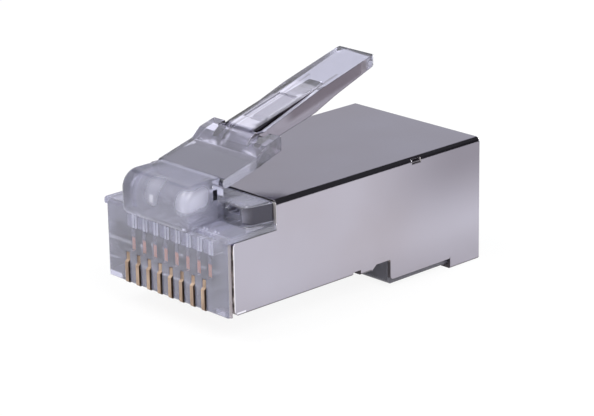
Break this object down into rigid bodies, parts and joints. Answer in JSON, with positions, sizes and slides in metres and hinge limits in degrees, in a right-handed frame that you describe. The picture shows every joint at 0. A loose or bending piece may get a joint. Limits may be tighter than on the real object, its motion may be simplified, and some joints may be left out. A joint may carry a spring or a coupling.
{
  "type": "rj45 modular plug",
  "caption": "Shielded eight-way modular plug: clear housing with a sprung latch arm, piercing contact blades and a folded metal shield.",
  "frame": {"origin": "centre of the overall width and length, on the plane of the crimp collar's underside", "axes": "+Y from the nose to the cable end, +Z from the contacts to the latch, +X across the plug"},
  "size_m": [0.0116, 0.0228, 0.0141],
  "materials": {
    "clear_plastic": "clear moulded polycarbonate, glossy",
    "nickel_plate": "bright nickel plate on thin folded sheet",
    "gold_plate": "gold flash over stamped copper alloy"
  },
  "bodies": {
    "plug": {"housing": "clear_plastic", "shield": "nickel_plate", "contact_1": "gold_plate", "contact_2": "gold_plate", "contact_3": "gold_plate", "contact_4": "gold_plate", "contact_5": "gold_plate", "contact_6": "gold_plate", "contact_7": "gold_plate", "contact_8": "gold_plate"},
    "latch": {"latch_arm": "clear_plastic"}
  },
  "joints": [
    {"name": "latch_flex", "type": "hinge", "parent": "plug", "child": "latch", "pos_m": [0, -0.00801, 0.00916], "axis": [-1, 0, 0], "range_deg": [0, 16], "stiffness_Nm_per_rad": 0.15}
  ]
}
